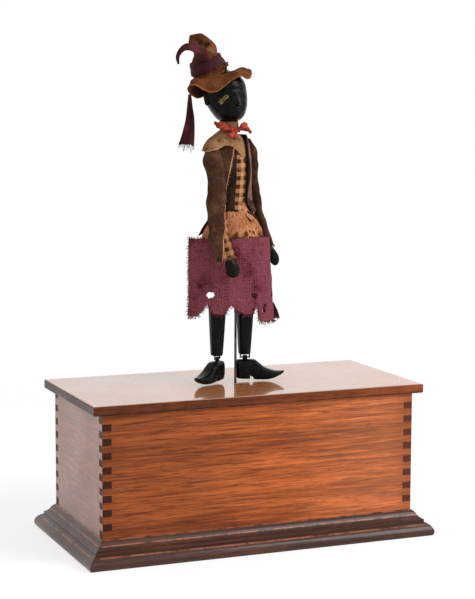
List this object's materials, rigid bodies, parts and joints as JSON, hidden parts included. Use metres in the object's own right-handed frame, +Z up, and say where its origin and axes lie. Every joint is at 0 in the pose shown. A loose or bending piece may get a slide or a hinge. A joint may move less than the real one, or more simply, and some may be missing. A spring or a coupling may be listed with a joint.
{
  "type": "clockwork dancing automaton",
  "caption": "Clockwork toy: a jointed carved figure in cloth clothes and felt hat hangs on a rod above a polished finger-jointed wooden box and dances on its lid",
  "frame": {"origin": "centre of the bottom board, on the plane the box stands on", "axes": "+X along the box to the viewer's right, -Y towards the viewer, +Z up along the dancing rod"},
  "size_m": [0.338, 0.193, 0.466],
  "materials": {
    "mahogany": "worn satin polish",
    "polished_mahogany": "glossy polish",
    "dark_moulding": "worn satin polish",
    "plain_wood": "unfinished",
    "movement_brass": "satin",
    "steel": "satin",
    "spring_steel": "blued",
    "black_painted_wood": "satin black paint, worn",
    "brown_felt": "matt, worn",
    "maroon_ribbon": "matt",
    "red_cloth": "matt",
    "tan_linen": "matt, faded",
    "checked_cloth": "matt, tan and dark brown checks",
    "brown_cloth": "smooth, worn",
    "dark_buttons": "polished",
    "burgundy_cloth": "coarse weave, frayed"
  },
  "bodies": {
    "case": {"front_board": "mahogany", "back_board": "mahogany", "left_board": "mahogany", "right_board": "mahogany", "bottom_board": "plain_wood", "lid": "polished_mahogany", "plinth_front": "dark_moulding", "plinth_back": "dark_moulding", "plinth_left": "dark_moulding", "plinth_right": "dark_moulding", "glue_blocks": "plain_wood", "wood_screws": "steel", "key_escutcheon": "movement_brass", "front_plate": "movement_brass", "back_plate": "movement_brass", "plate_pillars": "movement_brass", "plate_screws": "steel", "movement_bearers": "plain_wood", "rod_guide": "movement_brass", "mainspring": "spring_steel"},
    "winder": {"winding_arbor": "steel", "great_wheel": "movement_brass", "ratchet_wheel": "steel", "winding_key": "movement_brass"},
    "click": {"click": "steel"},
    "second": {"second_arbor": "steel", "second_pinion": "movement_brass", "second_wheel": "movement_brass", "tapping_wheel": "movement_brass"},
    "fly": {"fly_arbor": "steel", "fly_pinion": "movement_brass", "fly": "movement_brass"},
    "rocker": {"rocker_lever": "steel"},
    "stop_lever": {"stop_lever": "steel"},
    "dancer": {"dancing_rod": "steel", "torso_block": "black_painted_wood", "pivot_wires": "steel", "head": "black_painted_wood", "felt_hat": "brown_felt", "hat_ribbons": "maroon_ribbon", "bow": "red_cloth", "linen_shirt": "tan_linen", "vest_strip": "checked_cloth", "jacket": "brown_cloth", "jacket_buttons": "dark_buttons", "waist_cloth": "tan_linen", "skirt": "burgundy_cloth"},
    "right_arm": {"right_arm": "black_painted_wood", "right_sleeve": "brown_cloth"},
    "left_arm": {"left_arm": "black_painted_wood", "left_sleeve": "brown_cloth"},
    "right_thigh": {"right_thigh": "black_painted_wood"},
    "left_thigh": {"left_thigh": "black_painted_wood"},
    "right_shin": {"right_shin": "black_painted_wood", "right_ankle_wire": "steel"},
    "left_shin": {"left_shin": "black_painted_wood", "left_ankle_wire": "steel"},
    "right_clog": {"right_clog": "black_painted_wood"},
    "left_clog": {"left_clog": "black_painted_wood"}
  },
  "joints": [
    {"name": "great_arbor_spin", "type": "hinge", "parent": "case", "child": "winder", "pos_m": [-0.04, 0, 0.058], "axis": [0, 1, 0], "continuous": true},
    {"name": "second_arbor_spin", "type": "hinge", "parent": "case", "child": "second", "pos_m": [-0.00711, 0, 0.06997], "axis": [0, 1, 0], "continuous": true},
    {"name": "fly_spin", "type": "hinge", "parent": "case", "child": "fly", "pos_m": [0.01509, 0, 0.05962], "axis": [0, 1, 0], "continuous": true},
    {"name": "click_pivot", "type": "hinge", "parent": "winder", "child": "click", "pos_m": [-0.04, 0, 0.076], "axis": [0, -1, 0], "range_deg": [0, 12], "stiffness_Nm_per_rad": 0.002, "springref_deg": -5.73},
    {"name": "rod_slide", "type": "slide", "parent": "case", "child": "dancer", "axis": [0, 0, 1], "range_m": [0, 0.006]},
    {"name": "rocker_pivot", "type": "hinge", "parent": "case", "child": "rocker", "pos_m": [0.022, 0, 0.08182], "axis": [0, 1, 0], "range_deg": [0, 15]},
    {"name": "stop_lever_pivot", "type": "hinge", "parent": "case", "child": "stop_lever", "pos_m": [0.03, 0.019, 0.038], "axis": [0, 1, 0], "range_deg": [0, 8]},
    {"name": "right_shoulder", "type": "hinge", "parent": "dancer", "child": "right_arm", "pos_m": [-0.0252, -0.007, 0.357], "axis": [-1, 0, 0], "range_deg": [0, 60]},
    {"name": "left_shoulder", "type": "hinge", "parent": "dancer", "child": "left_arm", "pos_m": [0.018, -0.001, 0.359], "axis": [-0.965, -0.2051, -0.1633], "range_deg": [-10, 60]},
    {"name": "right_hip", "type": "hinge", "parent": "dancer", "child": "right_thigh", "pos_m": [-0.0157, 0, 0.284], "axis": [1, 0, 0], "range_deg": [-10, 10]},
    {"name": "right_knee", "type": "hinge", "parent": "right_thigh", "child": "right_shin", "pos_m": [-0.0157, 0, 0.2284], "axis": [1, 0, 0], "range_deg": [0, 72]},
    {"name": "right_ankle", "type": "hinge", "parent": "right_shin", "child": "right_clog", "pos_m": [-0.0157, 0, 0.1656], "axis": [-0.809, -0.5878, 0], "range_deg": [-10, 10]},
    {"name": "left_hip", "type": "hinge", "parent": "dancer", "child": "left_thigh", "pos_m": [0.0123, 0, 0.284], "axis": [1, 0, 0], "range_deg": [-10, 10]},
    {"name": "left_knee", "type": "hinge", "parent": "left_thigh", "child": "left_shin", "pos_m": [0.0123, 0, 0.2284], "axis": [1, 0, 0], "range_deg": [0, 72]},
    {"name": "left_ankle", "type": "hinge", "parent": "left_shin", "child": "left_clog", "pos_m": [0.0123, 0, 0.1656], "axis": [0.9563, -0.2924, 0], "range_deg": [-10, 10]}
  ],
  "couplings": [
    {"joint": "second_arbor_spin", "follows": "great_arbor_spin", "ratio": -6},
    {"joint": "fly_spin", "follows": "great_arbor_spin", "ratio": 36},
    {"joint": "rocker_pivot", "follows": "rod_slide", "rad_per_m": 43.5}
  ]
}
